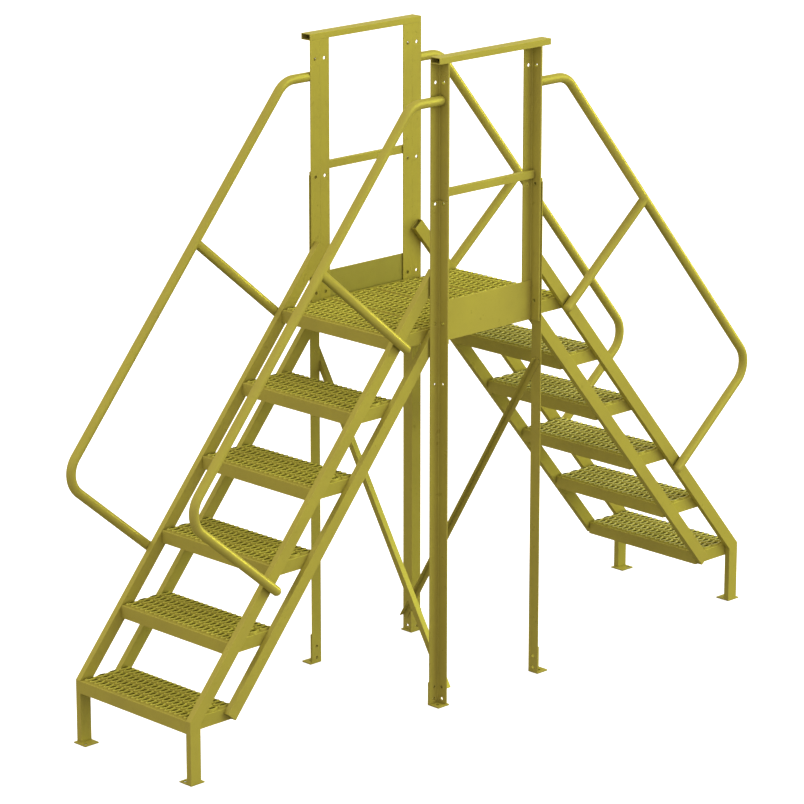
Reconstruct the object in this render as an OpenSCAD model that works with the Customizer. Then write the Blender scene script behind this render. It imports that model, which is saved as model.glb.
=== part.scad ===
/* [Platform] */
// Height of the platform floor above the ground
platform_height = 1524; // [1300:1:1800]
// Length of the platform floor between the two flights
platform_length = 975; // [900:1:1200]
// Clear width of the platform and of the treads
walk_width = 609.6; // [500:0.1:800]
// Height of the guard top above the platform floor
guard_height = 1066.8; // [1000:0.1:1150]
// Distance between the backs of the two posts on one side
post_spacing = 508; // [440:1:560]
// Height of the deck rim
deck_rim = 50.8; // [40:0.1:60]
// Sheet thickness of the deck and treads
sheet = 3.2; // [2:0.1:5]
// Gap left between a stringer end and the post back, and between it and the deck wing
end_gap = 6.35; // [3:0.05:10]

/* [Flights] */
// Slope of the flights in degrees
slope = 50; // [47:0.5:54]
// Depth of a tread from its nose to its rear rim
tread_depth = 241.3; // [220:0.1:270]
// Height of the tread rim
tread_rim = 50.8; // [40:0.1:60]

/* [Stringers] */
// Depth of a stringer tube, seen from the side
stringer_depth = 50.8; // [40:0.1:60]
// Width of a stringer tube across the flight
stringer_width = 25.4; // [20:0.1:32]
// Wall of the rectangular tubes
tube_wall = 3; // [2:0.1:4]
// Horizontal distance from the front stringer's face to the rear stringer's face
rear_setback = 203.2; // [190:0.1:215]
// Height above the ground of the rear stringer's lower end
rear_stringer_foot = 203.2; // [170:0.1:230]
// Side of a square foot plate
foot_plate = 68.6; // [66:0.1:80]
// Thickness of a foot plate
foot_plate_t = 4.8; // [3:0.1:8]
// Distance from the plate edges to the centre of its anchor hole
foot_hole_inset = 16; // [14:0.1:18]

/* [Handrails] */
// Outer diameter of the handrail tube
rail_d = 38.1; // [30:0.1:42]
// Height of the handrail centre above the nose line
rail_height = 823; // [780:1:860]
// Centreline radius of the handrail bends
rail_bend = 101.6; // [80:0.1:110]
// Distance up the slope from the first nose to the lower return
return_place = 592; // [500:1:700]
// Distance up the slope from the first nose to the knee tube
knee_place = 1651; // [1500:1:1750]
// Length of a tube tip past the stringer
rail_tip = 21; // [15:1:25]
// Height of the handrail's level end above the platform floor
rail_end_height = 896.6; // [870:0.1:920]

/* [Angles] */
// Flange width of the posts and legs
angle_width = 50.8; // [40:0.1:56]
// Flange thickness of the posts and legs
angle_t = 4.8; // [3:0.1:6]
// Height that a leg reaches above the platform floor
leg_rise = 508; // [400:1:525]
// Flange width of the braces
brace_width = 25.4; // [20:0.1:30]
// Flange thickness of the braces
brace_t = 3.2; // [2:0.1:5]
// Height of a brace's lower end above the ground
brace_foot = 57; // [50:1:100]
// Distance from a brace's upper end down from the underside of the deck
brace_drop = 204; // [150:1:300]

/* [Guards] */
// Depth of the top rail across the walkway
top_rail_w = 50.8; // [40:0.1:56]
// Height of the top rail
top_rail_h = 25.4; // [20:0.1:30]
// Depth of the mid rail across the walkway
mid_rail_w = 19.05; // [15:0.05:25]
// Height of the mid rail
mid_rail_h = 31.75; // [25:0.05:40]
// Height of the mid rail's centre above the platform floor
mid_rail_height = 535.2; // [500:0.1:600]
// Height of the toe board above the platform floor
toe_board_rise = 108; // [90:1:130]
// Thickness of the toe board
toe_board_t = 4.8; // [3:0.1:6]

/* [Foot brackets] */
// Thickness of the bracket plates
bracket_t = 6.35; // [5:0.05:8]
// Height of a bracket
bracket_height = 95; // [80:1:98]
// Height of the tall bracket on the far left leg
tall_bracket_height = 127; // [110:1:140]
// Width of a bracket along the walkway
bracket_length = 60; // [58:0.1:66]
// Distance a bracket reaches past the leg's flanges
bracket_reach = 6; // [3:0.1:9]
// Distance from the leg's heel to the anchor hole, along the walkway
anchor_x = 31; // [28:0.1:34]
// Distance from the leg's heel to the anchor hole, across the walkway
anchor_y = 28; // [26:0.1:32]
// Diameter of the anchor holes
anchor_d = 14.3; // [10:0.1:16]

/* [Hidden] */
$fn = 64;
STEPS = 5;
rise = platform_height / (STEPS + 1);
run = rise / tan(slope);
foot_x = platform_length / 2 + STEPS * run;
deck_bottom = platform_height - deck_rim;
guard_top = platform_height + guard_height;
side_y = walk_width / 2 + stringer_width;
post_x = post_spacing / 2;
leg_x = post_x + angle_t;
leg_y = side_y + angle_t;
stringer_end = post_x - end_gap;
wing_end = stringer_end - end_gap;
rear_offset = rear_setback * sin(slope);
rail_offset = rail_height * cos(slope);
rail_y = side_y + rail_d / 2;
upper_bend_rise = platform_height + rail_end_height - rail_bend - rise - (rail_offset - rail_bend) * cos(slope);
upper_bend_place = upper_bend_rise / sin(slope);
brace_top = deck_bottom - brace_drop;
brace_y = leg_y + angle_width / 2;
brace_slope = atan2(brace_top - brace_foot, 2 * brace_y);
brace_length = 2 * brace_y / cos(brace_slope);
cut = 1;
// The handrail's level tube enters its bend by this much, and is thinner by as much.
joint_step = 0.1;
paint = "#b8ae34";
shade = "#9c9238";

// The four sides. Pieces are drawn on the right or far side and mirrored or turned from there.
module near() { mirror([0, 1, 0]) children(); }
module left() { mirror([1, 0, 0]) children(); }
module turned() { rotate([0, 0, 180]) children(); }

// Places a shape that is drawn in X and Z, with its width along +Y.
module side_plate(y, width) {
    translate([0, y + width, 0])
        rotate([90, 0, 0])
            linear_extrude(width)
                children();
}

// A point of the flight's side view: a distance up the nose line and one square to it.
function on_slope(along, square_to) = [
    along * cos(slope) - square_to * sin(slope) - foot_x,
    along * sin(slope) + square_to * cos(slope) + rise
];

// The point where a line that is inset from the front stringer's outline turns at the mitre.
function mitre(inset) = on_slope(inset * (1 - sin(slope)) / cos(slope), -inset);

// An equal angle standing on the XY plane, with its heel on the Z axis.
module angle_bar(width, thickness, length) {
    linear_extrude(length)
        polygon([
            [0, 0],
            [width, 0],
            [width, thickness],
            [thickness, thickness],
            [thickness, width],
            [0, width]
        ]);
}

// A pan that is open below, centred on the Z axis, with its top at the given height.
module centred_block(length, width, height, top) {
    translate([-length / 2, -width / 2, top - height])
        cube([length, width, height]);
}

module platform_deck() {
    color(paint)
        difference() {
            union() {
                centred_block(platform_length, walk_width, deck_rim, platform_height);
                centred_block(2 * wing_end, 2 * side_y, deck_rim, platform_height);
            }
            deck_hollow(platform_length, walk_width);
            deck_hollow(2 * wing_end, 2 * side_y);
        }
}

module deck_hollow(length, width) {
    centred_block(length - 2 * sheet, width - 2 * sheet, deck_rim, platform_height - sheet);
}

module toe_board() {
    color(paint)
        translate([-post_x + angle_t, leg_y, deck_bottom])
            cube([2 * (post_x - angle_t), toe_board_t, deck_rim + toe_board_rise]);
}

// A rectangular tube along X, from the far side's face outward, with open ends.
module guard_tube(half_length, y, z, width, height) {
    color(paint)
        difference() {
            translate([-half_length, y, z])
                cube([2 * half_length, width, height]);
            translate([-half_length - cut, y + tube_wall, z + tube_wall])
                cube([2 * (half_length + cut), width - 2 * tube_wall, height - 2 * tube_wall]);
        }
}

module mid_rail() {
    mid_z = platform_height + mid_rail_height - mid_rail_h / 2;
    guard_tube(post_x - angle_t, leg_y, mid_z, mid_rail_w, mid_rail_h);
}

module top_rail() {
    guard_tube(post_x + angle_width, side_y, guard_top - top_rail_h, top_rail_w, top_rail_h);
}

// The post next to the platform guard, with its flange towards the middle of the platform.
module platform_post() {
    color(shade)
        translate([post_x, side_y, deck_bottom])
            mirror([1, 0, 0])
                angle_bar(angle_width, angle_t, guard_top - top_rail_h - deck_bottom);
}

// The post next to the flight, back to back with the platform post.
module flight_post() {
    color(paint)
        translate([post_x, side_y, deck_bottom])
            angle_bar(angle_width, angle_t, guard_top - top_rail_h - deck_bottom);
}

// The leg lies in the corner of the flight post and stands on its foot bracket.
module leg() {
    color(paint)
        translate([leg_x, leg_y, bracket_t])
            angle_bar(angle_width, angle_t, platform_height + leg_rise - bracket_t);
}

module anchor_hole(x, y, thickness) {
    translate([x, y, -cut])
        cylinder(d = anchor_d, h = thickness + 2 * cut);
}

// A base plate under the leg and an upright plate against the leg's outer flange.
module foot_bracket(base_x, base_y, base_width, upright_x, upright_y, height) {
    color(shade)
        difference() {
            union() {
                translate([base_x, base_y, 0])
                    cube([bracket_length, base_width, bracket_t]);
                translate([upright_x, upright_y, 0])
                    cube([leg_x + angle_width - upright_x, bracket_t, height]);
            }
            anchor_hole(leg_x + anchor_x, leg_y + anchor_y, bracket_t);
        }
}

// The bracket whose upright stands behind the leg, on the side of the walkway.
module inner_bracket() {
    base_x = leg_x + angle_width - bracket_length;
    base_y = leg_y - bracket_t;
    foot_bracket(base_x, base_y, angle_width + bracket_t + bracket_reach / 2, base_x, base_y, bracket_height);
}

// The bracket whose upright stands in the corner of the leg.
module outer_bracket(height) {
    foot_bracket(leg_x, leg_y, angle_width, leg_x + angle_t, leg_y + angle_t, height);
}

// A brace along the right side's legs, rising from far to near.
module brace() {
    color(shade)
        translate([leg_x, brace_y, brace_foot])
            rotate([90 - brace_slope, 0, 0])
                translate([0, brace_width, 0])
                    rotate([0, 0, 180])
                        angle_bar(brace_width, brace_t, brace_length);
}

// A tread of the left flight, counted from the ground.
module tread(number) {
    nose_x = (number - 1) * run - foot_x;
    color(paint)
        translate([nose_x, -walk_width / 2, number * rise - tread_rim])
            difference() {
                cube([tread_depth, walk_width, tread_rim]);
                translate([sheet, sheet, -sheet])
                    cube([tread_depth - 2 * sheet, walk_width - 2 * sheet, tread_rim]);
            }
}

// The front stringer's outline in side view, inset by a wall, with ends that run past by extra.
module front_outline(inset, extra) {
    front_top = (foot_x - stringer_end - stringer_depth * sin(slope)) / cos(slope) + extra;
    leg_bottom = foot_plate_t - extra;
    polygon([
        [inset - foot_x, leg_bottom],
        mitre(inset),
        on_slope(front_top, -inset),
        on_slope(front_top, inset - stringer_depth),
        mitre(stringer_depth - inset),
        [stringer_depth - inset - foot_x, leg_bottom]
    ]);
}

// A front stringer of the left flight's far side. Its foot plate reaches past the leg by plate_shift.
module front_stringer(plate_shift) {
    hole_x = foot_hole_inset - plate_shift - foot_x;
    hole_y = side_y - foot_plate + foot_hole_inset;
    color(paint) {
        difference() {
            side_plate(walk_width / 2, stringer_width)
                front_outline(0, 0);
            side_plate(walk_width / 2 + tube_wall, stringer_width - 2 * tube_wall)
                front_outline(tube_wall, cut);
        }
        difference() {
            translate([-plate_shift - foot_x, side_y - foot_plate, 0])
                cube([foot_plate, foot_plate, foot_plate_t]);
            anchor_hole(hole_x, hole_y, foot_plate_t);
        }
    }
}

module rear_outline(inset, extra) {
    depth = rear_offset + stringer_depth;
    lower_end = (rear_stringer_foot - rise + depth * cos(slope)) / sin(slope) - extra;
    upper_end = (foot_x - stringer_end - depth * sin(slope)) / cos(slope) + extra;
    polygon([
        on_slope(lower_end, -rear_offset - inset),
        on_slope(upper_end, -rear_offset - inset),
        on_slope(upper_end, inset - depth),
        on_slope(lower_end, inset - depth)
    ]);
}

// A rear stringer of the left flight's far side, square cut and open at both ends.
module rear_stringer() {
    color(shade)
        difference() {
            side_plate(walk_width / 2, stringer_width)
                rear_outline(0, 0);
            side_plate(walk_width / 2 + tube_wall, stringer_width - 2 * tube_wall)
                rear_outline(tube_wall, cut);
        }
}

// A handrail tube that stands square to the slope, from its rounded tip up to the given offset.
module upright_tube(place, top_offset) {
    tip_offset = -stringer_depth - rail_tip;
    translate([place, 0, tip_offset])
        rotate_extrude()
            intersection() {
                union() {
                    translate([0, rail_d / 2])
                        circle(d = rail_d);
                    translate([0, rail_d / 2])
                        square([rail_d / 2, top_offset - tip_offset - rail_d / 2]);
                }
                square([rail_d / 2, top_offset - tip_offset]);
            }
}

// A bend of the handrail in the XZ plane, starting at the top of its circle and turning down to -X.
module rail_arc(angle) {
    rotate([90, 0, 0])
        rotate([0, 0, 90])
            rotate_extrude(angle = angle)
                translate([rail_bend, 0])
                    circle(d = rail_d);
}

// The top of the handrail, from the end of its sloping tube: a bend and a level tube to the post.
module level_end() {
    bend_x = (rail_bend - rail_offset) * sin(slope) + upper_bend_place * cos(slope) - foot_x;
    translate([0, 0, -rail_bend]) {
        mirror([1, 0, 0])
            rail_arc(slope);
        rotate([0, slope, 0])
            translate([-joint_step, 0, rail_bend])
                rotate([0, 90, 0])
                    cylinder(d = rail_d - joint_step, h = joint_step - leg_x - bend_x);
    }
}

// The whole tube of a handrail, in the slope's frame.
module rail_tube() {
    low_bend = return_place + rail_bend;
    slope_length = upper_bend_place - low_bend;
    upright_tube(return_place, rail_offset - rail_bend);
    upright_tube(knee_place, rail_offset);
    translate([low_bend, 0, rail_offset - rail_bend])
        rail_arc(90);
    translate([low_bend, 0, rail_offset]) {
        rotate([0, 90, 0])
            cylinder(d = rail_d, h = slope_length);
        translate([slope_length, 0, 0])
            level_end();
    }
}

// A handrail of the left flight's far side. Its level end is notched over the flight post's flange.
module handrail() {
    color(paint)
        difference() {
            translate([-foot_x, rail_y, rise])
                rotate([0, -slope, 0])
                    rail_tube();
            translate([-post_x - angle_width, side_y - cut, guard_top - 2 * rail_bend])
                cube([angle_width, angle_t + cut, rail_bend]);
        }
}

platform_deck();
near() toe_board();  // near_toe_board
toe_board();  // far_toe_board
near() mid_rail();  // near_mid_rail
mid_rail();  // far_mid_rail
near() top_rail();  // near_top_rail
top_rail();  // far_top_rail
turned() platform_post();  // left_near_platform_post
left() platform_post();  // left_far_platform_post
near() platform_post();  // right_near_platform_post
platform_post();  // right_far_platform_post
turned() flight_post();  // left_near_flight_post
left() flight_post();  // left_far_flight_post
near() flight_post();  // right_near_flight_post
flight_post();  // right_far_flight_post
turned() leg();  // left_near_leg
left() leg();  // left_far_leg
near() leg();  // right_near_leg
leg();  // right_far_leg
turned() inner_bracket();  // left_near_foot_bracket
left() outer_bracket(tall_bracket_height);  // left_far_foot_bracket
near() outer_bracket(bracket_height);  // right_near_foot_bracket
inner_bracket();  // right_far_foot_bracket
turned() brace();  // left_brace
brace();  // right_brace
for (i = [1 : STEPS]) {
    tread(i);
    turned() tread(i);
}
near() front_stringer(0);  // left_near_front_stringer
front_stringer(foot_plate - stringer_depth);  // left_far_front_stringer
turned() front_stringer(foot_plate - stringer_depth);  // right_near_front_stringer
turned() near() front_stringer(0);  // right_far_front_stringer
near() rear_stringer();  // left_near_rear_stringer
rear_stringer();  // left_far_rear_stringer
turned() rear_stringer();  // right_near_rear_stringer
left() rear_stringer();  // right_far_rear_stringer
near() handrail();  // left_near_handrail
handrail();  // left_far_handrail
turned() handrail();  // right_near_handrail
left() handrail();  // right_far_handrail
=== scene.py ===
import math

import bmesh
import bpy
from mathutils import Euler, Matrix, Vector

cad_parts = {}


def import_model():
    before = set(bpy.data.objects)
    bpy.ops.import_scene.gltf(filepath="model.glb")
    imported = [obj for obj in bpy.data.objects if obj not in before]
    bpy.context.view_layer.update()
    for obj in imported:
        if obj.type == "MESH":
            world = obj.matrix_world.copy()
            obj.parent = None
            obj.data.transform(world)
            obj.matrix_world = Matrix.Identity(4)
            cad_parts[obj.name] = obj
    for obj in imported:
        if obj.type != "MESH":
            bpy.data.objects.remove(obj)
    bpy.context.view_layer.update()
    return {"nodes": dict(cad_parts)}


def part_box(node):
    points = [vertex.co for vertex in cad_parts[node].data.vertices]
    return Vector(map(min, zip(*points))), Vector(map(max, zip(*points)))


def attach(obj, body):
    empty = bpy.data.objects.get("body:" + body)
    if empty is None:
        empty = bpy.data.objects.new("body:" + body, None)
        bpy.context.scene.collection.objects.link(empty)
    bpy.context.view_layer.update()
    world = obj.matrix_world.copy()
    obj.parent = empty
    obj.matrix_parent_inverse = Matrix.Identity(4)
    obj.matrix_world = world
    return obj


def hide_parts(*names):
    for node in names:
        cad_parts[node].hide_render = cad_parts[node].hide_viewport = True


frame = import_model()

MM = 0.001
INCH = 25.4 * MM


# ---------------------------------------------------------------- materials
def shade(value):
    return (value, value, value)


def paint(name, colour, dark, shine, bump, shade_share):
    """Safety paint: colour that drifts, orange peel, painted shade darkening the hollows, and rubbed
    edges.

    shine is the least roughness, bump the strength of the peel and waves, and the last argument the
    strength of the painted shade in the hollows.
    """
    material = bpy.data.materials.new(name)
    material.use_nodes = True
    nodes, links = material.node_tree.nodes, material.node_tree.links
    shader = nodes["Principled BSDF"]
    shader.inputs["Metallic"].default_value = 0.2
    shader.inputs["IOR"].default_value = 1.06
    shader.inputs["Specular Tint"].default_value = (1.0, 0.97, 0.4, 1)
    place = nodes.new("ShaderNodeTexCoord")

    def noise(scale, detail, roughness=0.55):
        node = nodes.new("ShaderNodeTexNoise")
        node.inputs["Scale"].default_value = scale
        node.inputs["Detail"].default_value = detail
        node.inputs["Roughness"].default_value = roughness
        links.new(place.outputs["Object"], node.inputs["Vector"])
        return node.outputs["Fac"]

    def ramp(source, low, high, first, last):
        node = nodes.new("ShaderNodeValToRGB")
        node.color_ramp.elements[0].position = low
        node.color_ramp.elements[1].position = high
        node.color_ramp.elements[0].color = (*first, 1)
        node.color_ramp.elements[1].color = (*last, 1)
        links.new(source, node.inputs["Fac"])
        return node.outputs["Color"]

    def mix(factor, first, second):
        """Mixes the output first with the plain colour second."""
        node = nodes.new("ShaderNodeMix")
        node.data_type = "RGBA"
        links.new(factor, node.inputs[0])
        links.new(first, node.inputs[6])
        node.inputs[7].default_value = (*second, 1)
        return node.outputs[2]

    def bumps(scale, detail, depth):
        node = nodes.new("ShaderNodeBump")
        node.inputs["Strength"].default_value = bump
        node.inputs["Distance"].default_value = depth
        links.new(noise(scale, detail), node.inputs["Height"])
        return node

    drift = ramp(noise(5.0, 5), 0.36, 0.66, colour, dark)
    blotch = ramp(noise(38.0, 4, 0.7), 0.56, 0.74, shade(0.0), shade(0.35))
    base = mix(blotch, drift, [c * 0.8 for c in dark])

    # Painted shade: hollows, inside corners and places close to other parts, found by ambient
    # occlusion, are darkened in the colour itself.
    hollow = nodes.new("ShaderNodeAmbientOcclusion")
    hollow.samples = 6
    hollow.inputs["Distance"].default_value = 15 * MM
    painted_hollow_shade = ramp(hollow.outputs["AO"], 0.3, 0.8, shade(shade_share), shade(0.0))
    base = mix(painted_hollow_shade, base, [c * 0.3 for c in dark])

    # Edges are where the rounded normal turns away from the true one.
    edge = nodes.new("ShaderNodeBevel")
    edge.samples = 4
    edge.inputs["Radius"].default_value = 2.5 * MM
    true = nodes.new("ShaderNodeNewGeometry")
    turn = nodes.new("ShaderNodeVectorMath")
    turn.operation = "DOT_PRODUCT"
    links.new(edge.outputs["Normal"], turn.inputs[0])
    links.new(true.outputs["Normal"], turn.inputs[1])
    rubbed = nodes.new("ShaderNodeMath")
    rubbed.operation = "MULTIPLY"
    edges = ramp(turn.outputs["Value"], 0.86, 0.985, shade(0.55), shade(0.0))
    patches = ramp(noise(90.0, 3), 0.4, 0.62, shade(0.0), shade(1.0))
    links.new(edges, rubbed.inputs[0])
    links.new(patches, rubbed.inputs[1])
    base = mix(rubbed.outputs[0], base, [min(1.0, c * 1.35 + 0.02) for c in colour])
    links.new(base, shader.inputs["Base Color"])

    rough = ramp(noise(24.0, 5, 0.65), 0.3, 0.75, shade(shine), shade(shine + 0.14))
    links.new(rough, shader.inputs["Roughness"])

    peel = bumps(420.0, 2, 0.4 * MM)
    waves = bumps(34.0, 3, 2.0 * MM)
    links.new(peel.outputs["Normal"], waves.inputs["Normal"])
    links.new(waves.outputs["Normal"], shader.inputs["Normal"])
    return material


FRAME_PAINT = paint("frame_paint", (0.465, 0.425, 0.073), (0.435, 0.39, 0.073), 0.26, 0.12, 0.5)
# Painted shade: a duller copy of the frame paint for the far toe board, for the shade it lies in.
SHADED_TOE_PAINT = paint("toe_board_painted_shade", (0.385, 0.365, 0.076), (0.36, 0.335, 0.074), 0.30, 0.12, 0.5)
TREAD_PAINT = paint("tread_paint", (0.465, 0.425, 0.070), (0.425, 0.385, 0.070), 0.30, 0.3, 0.15)
# Painted shade: the walls and undersides of the openings are painted dark for the shade inside them.
PIT_SHADE_PAINT = paint("tread_pit_painted_shade", (0.19, 0.18, 0.024), (0.15, 0.14, 0.020), 0.6, 0.3, 0.5)
# Painted highlight: the crests of the openings are painted lighter for the gloss they catch.
CREST_HIGHLIGHT_PAINT = paint("tread_crest_painted_highlight", (0.59, 0.57, 0.092), (0.51, 0.48, 0.076), 0.30, 0.2, 0.1)
# Painted shade, darker, in the openings of the right flight's treads.
RIGHT_PIT_SHADE_PAINT = paint("right_tread_pit_painted_shade", (0.12, 0.115, 0.015), (0.10, 0.095, 0.014), 0.6, 0.3, 0.5)
# Painted highlight, lighter, on the crests of the right flight's treads.
RIGHT_CREST_HIGHLIGHT_PAINT = paint("right_tread_crest_painted_highlight", (0.60, 0.58, 0.20), (0.40, 0.38, 0.10), 0.26, 0.2, 0.1)

# The places of the paints of a grip surface in its list of materials: the sheet, the walls and
# undersides of the openings painted dark as painted shade, and the crests painted light as a painted
# highlight.
SHEET_FACE, PIT_FACE, CREST_FACE = 0, 1, 2


def paints(node, slot):
    """The paints of the piece that stands for a CAD node, in the order of their places."""
    # The far toe board takes its duller paint, painted shade.
    if node == "far_toe_board":
        return [SHADED_TOE_PAINT]
    if slot == "frame_paint":
        return [FRAME_PAINT]
    # The right flight's treads take the darker painted shade and the lighter painted highlight.
    if node.startswith("right_tread"):
        return [TREAD_PAINT, RIGHT_PIT_SHADE_PAINT, RIGHT_CREST_HIGHLIGHT_PAINT]
    return [TREAD_PAINT, PIT_SHADE_PAINT, CREST_HIGHLIGHT_PAINT]


# ---------------------------------------------------------------- helpers
PIECES = []
SHARP = 30       # degrees: sharper edges are rounded in a piece, and stay crisp in its shading
WELD = 2e-6      # points closer than this are one point


def piece(name, mesh, node, slot="frame_paint", smooth=SHARP):
    """Adds a piece that stands for the CAD node, smooth up to an angle in degrees."""
    thing = bpy.data.objects.new(name, mesh)
    bpy.context.scene.collection.objects.link(thing)
    for material in paints(node, slot):
        mesh.materials.append(material)
    mesh.shade_smooth()
    mesh.set_sharp_from_angle(angle=math.radians(smooth))
    PIECES.append(thing)
    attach(thing, "root")
    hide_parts(node)
    return thing


def mesh_of(shape, name):
    mesh = bpy.data.meshes.new(name)
    shape.normal_update()
    shape.to_mesh(mesh)
    shape.free()
    return mesh


def from_node(node):
    """A copy of the CAD node as one closed surface."""
    shape = bmesh.new()
    shape.from_mesh(frame["nodes"][node].data)
    bmesh.ops.remove_doubles(shape, verts=shape.verts, dist=WELD)
    return shape


def flat_from_node(node):
    """A copy of the CAD node whose flat sides are each one face."""
    shape = from_node(node)
    bmesh.ops.dissolve_limit(shape, angle_limit=math.radians(0.5), verts=shape.verts,
                             edges=shape.edges)
    return shape


def rounded(shape, name, radius):
    """A mesh of the shape with its sharp edges rounded."""
    sharp = [e for e in shape.edges
             if len(e.link_faces) == 2 and e.calc_face_angle(0) > math.radians(SHARP)]
    bmesh.ops.bevel(shape, geom=sharp, offset=radius, segments=2, affect="EDGES",
                    clamp_overlap=True, profile=0.5)
    return mesh_of(shape, name)


def ring_faces(shape, first, second):
    """Joins two closed rings of as many points by a band of faces."""
    band = []
    for i in range(len(first)):
        k = (i + 1) % len(first)
        band.append(shape.faces.new([first[i], first[k], second[k], second[i]]))
    return band


# ---------------------------------------------------------------- grip surfaces
PITCH_X, PITCH_Y = 57.15 * MM, 27.1 * MM   # one opening to the next, along and across the walkway
ROWS, COLUMNS = 4, 22                      # openings in a tread or in a plank of the deck
CELL = 32                                  # points round an opening
SHEET = 3.2 * MM
GRIP_SHARP = 35                            # degrees: SHARP for a grip

# Rings of an opening from its rim inwards: half length, half width and height in mm, how much the
# ring narrows to its points, and the paint of the band outside it.
# Bands marked CREST_FACE carry the painted highlight, and bands marked PIT_FACE the painted shade.
TOP_RINGS = [
    (28.0, 12.6, 0.0, 0.3, SHEET_FACE),
    (27.2, 10.8, 6.4, 0.4, SHEET_FACE),
    (23.4, 7.6, 8.9, 0.7, CREST_FACE),
    (20.6, 6.8, 8.7, 0.9, CREST_FACE),
    (17.6, 6.0, -6.0, 1.0, PIT_FACE),
]
UNDER_RINGS = [(19.0, 7.2, -6.8, 1.0, PIT_FACE)]
SERRATION = 1.2                            # depth of the notches in a crest, in mm
END_DROP = 0.12                            # share of its height that a raised ring loses at its ends


def cell_rings(top):
    """The rings of one opening, each as its points and the paint of the band outside it."""
    square = []
    for side in range(4):
        for step in range(CELL // 4):
            along = -1 + step * 8 / CELL
            x, y = [(along, -1), (1, along), (-along, 1), (-1, -along)][side]
            square.append((x * PITCH_X / 2, y * PITCH_Y / 2, 0.0 if top else -SHEET))
    rings = [(square, SHEET_FACE)]
    for length, width, height, narrowing, face_paint in TOP_RINGS if top else UNDER_RINGS:
        ring = []
        for point, (x, y, _) in enumerate(square):
            angle = math.atan2(y / PITCH_Y, x / PITCH_X)
            along, across = math.cos(angle), math.sin(angle)
            rise = height * (1 - END_DROP * along ** 4) if height > 0 else height
            if face_paint == CREST_FACE:
                rise -= SERRATION * (point % 2)
            ring.append((along * length * MM,
                         across * abs(across) ** narrowing * width * MM,
                         rise * MM))
        rings.append((ring, face_paint))
    return rings


def opening(shape, x, y, z, rings, upper):
    """Makes the upper or the lower side of an opening and returns its innermost ring."""
    last = None
    for ring, face_paint in rings:
        points = [shape.verts.new((x + dx, y + dy, z + dz)) for dx, dy, dz in ring]
        if last:
            pair = (last, points) if upper else (points, last)
            for face in ring_faces(shape, *pair):
                face.material_index = face_paint
        last = points
    return last


def grip_panel(shape, centre, length, width, top, depth):
    """A pan of pressed grip sheet, open below: raised openings in rows, plain borders and rims."""
    sides = []
    for upper in (True, False):
        rings = cell_rings(upper)
        inner = []
        for row in range(ROWS):
            for column in range(COLUMNS):
                x = centre.x + (row - (ROWS - 1) / 2) * PITCH_X
                y = centre.y + (column - (COLUMNS - 1) / 2) * PITCH_Y
                inner.append(opening(shape, x, y, top, rings, upper))
        sides.append(inner)
    # The walls through the sheet take the pit paint, painted shade.
    for upper_ring, lower_ring in zip(*sides):
        for face in ring_faces(shape, upper_ring, lower_ring):
            face.material_index = PIT_FACE

    # The outline of the field of openings, with a point for each point of a cell's edge.
    half_x, half_y = ROWS * PITCH_X / 2, COLUMNS * PITCH_Y / 2
    side_steps = CELL // 4
    step_x, step_y = PITCH_X / side_steps, PITCH_Y / side_steps
    path = [(-half_x + i * step_x, -half_y) for i in range(ROWS * side_steps)]
    path += [(half_x, -half_y + i * step_y) for i in range(COLUMNS * side_steps)]
    path += [(half_x - i * step_x, half_y) for i in range(ROWS * side_steps)]
    path += [(-half_x, half_y - i * step_y) for i in range(COLUMNS * side_steps)]

    def spread(value, half, outer):
        """Moves a coordinate on the outline's edge out to the pan's."""
        return math.copysign(outer, value) if abs(abs(value) - half) < 1e-9 else value

    # The borders and rims, from the field outwards, down and back below: inset from the pan's
    # edge, or None for the field's own outline, and height.
    section = [(None, 0), (2.4 * MM, 0), (0.9 * MM, -0.5 * MM), (0.2 * MM, -1.5 * MM),
               (0, -2.6 * MM), (0, -depth), (SHEET, -depth), (SHEET, -SHEET), (None, -SHEET)]
    last = None
    for inset, height in section:
        points = []
        for x, y in path:
            if inset is not None:
                x = spread(x, half_x, length / 2 - inset)
                y = spread(y, half_y, width / 2 - inset)
            points.append(shape.verts.new((centre.x + x, centre.y + y, top + height)))
        if last:
            ring_faces(shape, last, points)
        last = points
    bmesh.ops.remove_doubles(shape, verts=shape.verts, dist=WELD)
    bmesh.ops.recalc_face_normals(shape, faces=shape.faces)


def tread(node):
    low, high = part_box(node)
    shape = bmesh.new()
    size = high - low
    grip_panel(shape, (low + high) / 2, size.x, size.y, high.z, size.z)
    piece(node + "_grip", mesh_of(shape, node), node, "tread_paint", GRIP_SHARP)


PLANKS = 4
PLANK_GAP = 1.0 * MM
PLANK_WIDTH = 609.6 * MM
WING_LENGTH = 482.6 * MM     # the bars beside the planks, between the posts
WING_GAP = 0.5 * MM
WING_EDGE = 1.5 * MM


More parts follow.
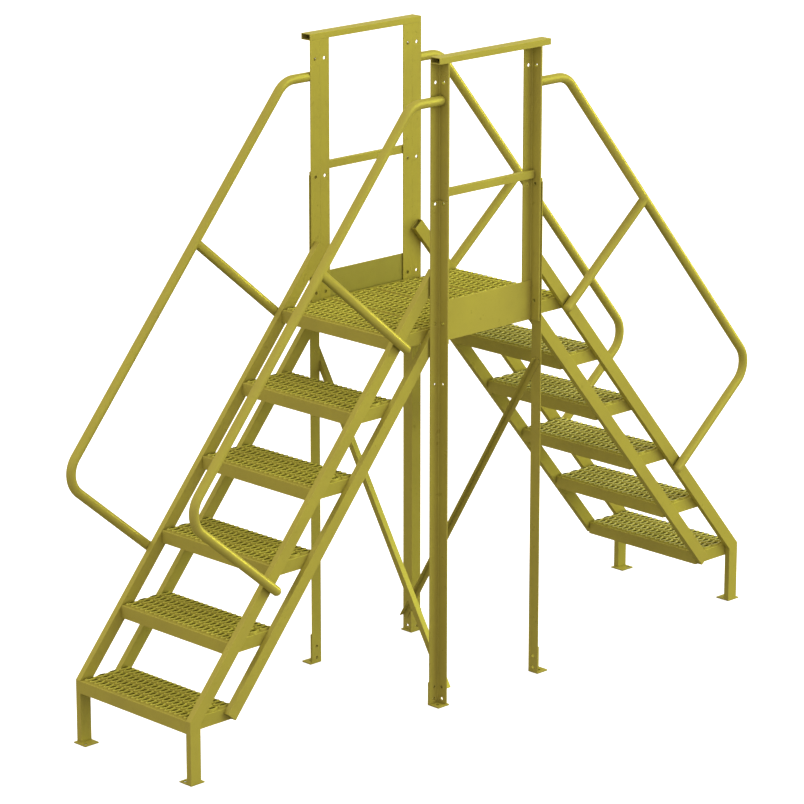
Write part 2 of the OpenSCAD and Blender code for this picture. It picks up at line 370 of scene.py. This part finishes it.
def deck():
    """Four planks of grip sheet side by side, with a plain bar along each guard."""
    node = "platform_deck"
    low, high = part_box(node)
    depth = high.z - low.z
    length = (high.x - low.x) / PLANKS
    whole = bmesh.new()
    for plank in range(PLANKS):
        shape = bmesh.new()
        centre = Vector((low.x + (plank + 0.5) * length, 0, 0))
        grip_panel(shape, centre, length - PLANK_GAP, PLANK_WIDTH, high.z, depth)
        part = bpy.data.meshes.new("plank")
        shape.to_mesh(part)
        shape.free()
        whole.from_mesh(part)
        bpy.data.meshes.remove(part)
    for side in (-1, 1):
        wing = bmesh.ops.create_cube(whole, size=1)["verts"]
        middle = Vector((0, side * (PLANK_WIDTH + INCH) / 2, (high.z + low.z) / 2))
        bmesh.ops.scale(whole, vec=(WING_LENGTH, INCH - WING_GAP, depth), verts=wing)
        bmesh.ops.translate(whole, vec=middle, verts=wing)
        edges = list({e for v in wing for e in v.link_edges})
        bmesh.ops.bevel(whole, geom=edges, offset=WING_EDGE, segments=2, affect="EDGES",
                        profile=0.5)
    piece(node + "_grip", mesh_of(whole, node), node, "tread_paint", GRIP_SHARP)


# ---------------------------------------------------------------- angles with bolt holes
FLANGE = 2 * INCH
WALL = 4.8 * MM
GAUGE = INCH                 # from an angle's heel to its holes
HOLE = 14.3 * MM
BRACE_HOLE = 9.5 * MM
FOOT_HOLE = 12.7 * MM
HOLE_SIDES = 28
DRILL_LENGTH = 20 * MM
# The heights of the holes, with their diameters.
POST_LEVELS = [(98.0 * INCH, HOLE), (79.55 * INCH, HOLE), (61.05 * INCH, HOLE)]
FOOT_LEVELS = [(2.85 * INCH, FOOT_HOLE), (0.95 * INCH, FOOT_HOLE)]
LEG_LEVELS = [(79.55 * INCH, HOLE), (61.05 * INCH, HOLE), (51.6 * INCH, BRACE_HOLE)] + FOOT_LEVELS


def drilled(thing, holes):
    """Cuts round bolt holes, each given as (centre, axis, diameter)."""
    shape = bmesh.new()
    for centre, axis, diameter in holes:
        turn = Vector((0, 0, 1)).rotation_difference(Vector(axis)).to_matrix().to_4x4()
        bmesh.ops.create_cone(shape, cap_ends=True, segments=HOLE_SIDES, radius1=diameter / 2,
                              radius2=diameter / 2, depth=DRILL_LENGTH,
                              matrix=Matrix.Translation(centre) @ turn)
    cutter = bpy.data.objects.new("cutter", mesh_of(shape, "cutter"))
    bpy.context.scene.collection.objects.link(cutter)
    cut = thing.modifiers.new("holes", "BOOLEAN")
    cut.operation = "DIFFERENCE"
    cut.solver = "EXACT"
    cut.object = cutter
    bpy.context.view_layer.update()
    drawn = thing.evaluated_get(bpy.context.evaluated_depsgraph_get())
    result = bpy.data.meshes.new_from_object(drawn)
    thing.modifiers.clear()
    old, thing.data = thing.data, result
    bpy.data.meshes.remove(old)
    bpy.data.objects.remove(cutter)


def heel_of(node, out_x, out_y):
    """Where the outer faces of an angle meet, whose flanges reach along out_x and out_y."""
    low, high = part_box(node)
    return (high.x if out_x < 0 else low.x, high.y if out_y < 0 else low.y)


def corner_holes(heel, out_x, out_y, levels):
    """Bolt holes through both flanges of an angle, at each (height, diameter)."""
    holes = []
    for z, diameter in levels:
        across = (heel[0] + out_x * GAUGE, heel[1] + out_y * WALL / 2, z)
        along = (heel[0] + out_x * WALL / 2, heel[1] + out_y * GAUGE, z)
        holes.append((across, (0, 1, 0), diameter))
        holes.append((along, (1, 0, 0), diameter))
    return holes


def angle_mesh(node, heel, out_x, out_y):
    """A rolled angle standing on end: rounded toes, a fillet inside and a crisp heel."""
    low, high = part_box(node)
    toe, fillet, heel_radius, nick = 0.6 * WALL, 0.9 * WALL, 0.6 * MM, 0.2 * MM
    section = []

    def corner(x, y, radius, start, end, steps):
        for i in range(steps + 1):
            a = math.radians(start + (end - start) * i / steps)
            section.append((x + radius * math.cos(a), y + radius * math.sin(a)))

    corner(heel_radius, heel_radius, heel_radius, 270, 180, 2)
    corner(nick, FLANGE - nick, nick, 180, 90, 1)
    corner(WALL - toe, FLANGE - toe, toe, 90, 0, 4)
    corner(WALL + fillet, WALL + fillet, fillet, 180, 270, 5)
    corner(FLANGE - toe, WALL - toe, toe, 90, 0, 4)
    corner(FLANGE - nick, nick, nick, 0, -90, 1)
    shape = bmesh.new()
    # A short band at each end keeps the shading of the long faces even.
    band = 0.3 * MM
    rings = []
    for z in (low.z, low.z + band, high.z - band, high.z):
        rings.append([shape.verts.new((heel[0] + out_x * x, heel[1] + out_y * y, z))
                      for x, y in section])
    for lower, upper in zip(rings, rings[1:]):
        ring_faces(shape, lower, upper)
    shape.faces.new(rings[0])
    shape.faces.new(rings[-1])
    bmesh.ops.recalc_face_normals(shape, faces=shape.faces)
    return mesh_of(shape, node)


def upright(node, out_x, out_y, levels):
    """A post or leg with its bolt holes."""
    heel = heel_of(node, out_x, out_y)
    thing = piece(node + "_bar", angle_mesh(node, heel, out_x, out_y), node)
    drilled(thing, corner_holes(heel, out_x, out_y, levels))


# ---------------------------------------------------------------- the other pieces
TUBE_EDGE = 1.2 * MM         # the radius of a tube's rounded edges
PLATE_EDGE = 0.8 * MM        # the same for plates and braces
BRACE_REACH = 45 * MM        # how much longer a brace is at its upper end
TREADS = 5                   # in a flight


def tube(node):
    piece(node + "_tube", rounded(flat_from_node(node), node, TUBE_EDGE), node)


def plate(node):
    return piece(node + "_plate", rounded(flat_from_node(node), node, PLATE_EDGE), node)


def handrail(node):
    """A bent tube, kept as it is and shaded smooth."""
    piece(node + "_tube", mesh_of(from_node(node), node), node)


def foot_bracket(node, out_x, out_y):
    """The bracket nested in the foot of a leg, drilled with it."""
    heel = heel_of(node.replace("foot_bracket", "leg"), out_x, out_y)
    drilled(plate(node), corner_holes(heel, out_x, out_y, FOOT_LEVELS))


def brace(node):
    """A diagonal angle whose upper end reaches the leg's outer edge, as its lower end does."""
    shape = flat_from_node(node)
    middle = sum(v.co.z for v in shape.verts) / len(shape.verts)
    upper = [v for v in shape.verts if v.co.z > middle]
    lower = [v for v in shape.verts if v.co.z <= middle]
    top = sum((v.co for v in upper), Vector()) / len(upper)
    foot = sum((v.co for v in lower), Vector()) / len(lower)
    bmesh.ops.translate(shape, vec=(top - foot).normalized() * BRACE_REACH, verts=upper)
    piece(node + "_plate", rounded(shape, node, PLATE_EDGE), node)


SIDES_X = {"left": -1, "right": 1}
SIDES_Y = {"near": -1, "far": 1}

for x_name, side_x in SIDES_X.items():
    for y_name, side_y in SIDES_Y.items():
        corner_name = f"{x_name}_{y_name}_"
        upright(corner_name + "platform_post", -side_x, side_y, POST_LEVELS)
        upright(corner_name + "flight_post", side_x, side_y, POST_LEVELS)
        upright(corner_name + "leg", side_x, side_y, LEG_LEVELS)
deck()
for x_name in SIDES_X:
    for number in range(1, TREADS + 1):
        tread(f"{x_name}_tread_{number}")
for node in sorted(frame["nodes"]):
    if "tread" in node or node.endswith(("_post", "_leg", "_deck")):
        continue
    if "handrail" in node:
        handrail(node)
    elif "stringer" in node or "rail" in node:
        tube(node)
    elif "foot_bracket" in node:
        x_name, y_name = node.split("_")[:2]
        foot_bracket(node, SIDES_X[x_name], SIDES_Y[y_name])
    elif "brace" in node:
        brace(node)
    else:
        plate(node)

for thing in PIECES:
    even = thing.modifiers.new("even_faces", "WEIGHTED_NORMAL")
    even.keep_sharp = True


# ---------------------------------------------------------------- floor, light and camera
def floor():
    """A pale floor that the camera sees as white, and that throws little light back."""
    shape = bmesh.new()
    bmesh.ops.create_grid(shape, x_segments=1, y_segments=1, size=60)
    mesh = mesh_of(shape, "floor")
    material = bpy.data.materials.new("pale_floor")
    material.use_nodes = True
    nodes, links = material.node_tree.nodes, material.node_tree.links
    shader = nodes["Principled BSDF"]
    shader.inputs["Base Color"].default_value = (0.8, 0.8, 0.8, 1)
    shader.inputs["Roughness"].default_value = 0.9
    glow = nodes.new("ShaderNodeEmission")
    glow.inputs["Strength"].default_value = 0.8
    muted = nodes.new("ShaderNodeBsdfDiffuse")
    muted.inputs["Color"].default_value = (0.3, 0.3, 0.3, 1)
    add = nodes.new("ShaderNodeAddShader")
    path = nodes.new("ShaderNodeLightPath")
    choose = nodes.new("ShaderNodeMixShader")
    links.new(shader.outputs[0], add.inputs[0])
    links.new(glow.outputs[0], add.inputs[1])
    links.new(path.outputs["Is Camera Ray"], choose.inputs[0])
    links.new(muted.outputs[0], choose.inputs[1])
    links.new(add.outputs[0], choose.inputs[2])
    links.new(choose.outputs[0], nodes["Material Output"].inputs["Surface"])
    mesh.materials.append(material)
    thing = bpy.data.objects.new("floor", mesh)
    thing.location.z = -1 * MM
    bpy.context.scene.collection.objects.link(thing)


def world():
    """A soft dome, in whose place the camera and glossy reflections see a plain pale grey."""
    scene = bpy.context.scene
    scene.world = bpy.data.worlds.new("studio")
    scene.world.use_nodes = True
    nodes, links = scene.world.node_tree.nodes, scene.world.node_tree.links
    place = nodes.new("ShaderNodeTexCoord")
    split = nodes.new("ShaderNodeSeparateXYZ")
    dome = nodes.new("ShaderNodeValToRGB")
    dome.color_ramp.elements[0].position = 0.15
    dome.color_ramp.elements[0].color = (1.0, 0.83, 1.05, 1)
    dome.color_ramp.elements[1].position = 0.9
    dome.color_ramp.elements[1].color = (1.0, 0.92, 0.75, 1)
    links.new(place.outputs["Generated"], split.inputs[0])
    links.new(split.outputs["Z"], dome.inputs["Fac"])
    base = nodes["Background"]
    base.inputs["Strength"].default_value = 1.07
    links.new(dome.outputs["Color"], base.inputs["Color"])
    plain = nodes.new("ShaderNodeBackground")
    plain.inputs["Color"].default_value = (0.8, 0.8, 0.8, 1)
    plain.inputs["Strength"].default_value = 1.0
    path = nodes.new("ShaderNodeLightPath")
    choose = nodes.new("ShaderNodeMixShader")
    seen = nodes.new("ShaderNodeMath")
    seen.operation = "MAXIMUM"
    links.new(path.outputs["Is Camera Ray"], seen.inputs[0])
    links.new(path.outputs["Is Glossy Ray"], seen.inputs[1])
    links.new(seen.outputs[0], choose.inputs[0])
    links.new(base.outputs[0], choose.inputs[1])
    links.new(plain.outputs[0], choose.inputs[2])
    links.new(choose.outputs[0], nodes["World Output"].inputs["Surface"])


LAMP_TARGET = Vector((0, 0, 1.2))


def lamp(name, place, size, power, colour):
    data = bpy.data.lights.new(name, "AREA")
    data.shape = "SQUARE"
    data.size = size
    data.color = colour
    data.energy = power
    thing = bpy.data.objects.new(name, data)
    thing.location = place
    thing.rotation_euler = (LAMP_TARGET - Vector(place)).to_track_quat("-Z", "Y").to_euler()
    bpy.context.scene.collection.objects.link(thing)


CAMERA_DOWN = 15.629         # degrees below the horizon
CAMERA_ROUND = 45.514        # degrees from the ladder's length


def camera():
    data = bpy.data.cameras.new("camera")
    data.sensor_width = 36
    data.lens = 167.55
    data.shift_x = 0.00566
    data.shift_y = -0.01035
    thing = bpy.data.objects.new("camera", data)
    thing.location = (-10.124, -10.151, 5.160)
    thing.rotation_euler = Euler((math.radians(90 - CAMERA_DOWN), 0,
                                  math.radians(CAMERA_ROUND - 90)))
    bpy.context.scene.collection.objects.link(thing)
    bpy.context.scene.camera = thing


floor()
world()
lamp("key", (12.0, -14.0, 10.0), 15.0, 1850, (0.86, 1.0, 0.45))
lamp("glint", (19.5, -7.0, 1.9), 5.0, 1300, (1.0, 0.97, 0.45))   # highlights along the tubes
camera()
bpy.context.scene.view_settings.view_transform = "Standard"
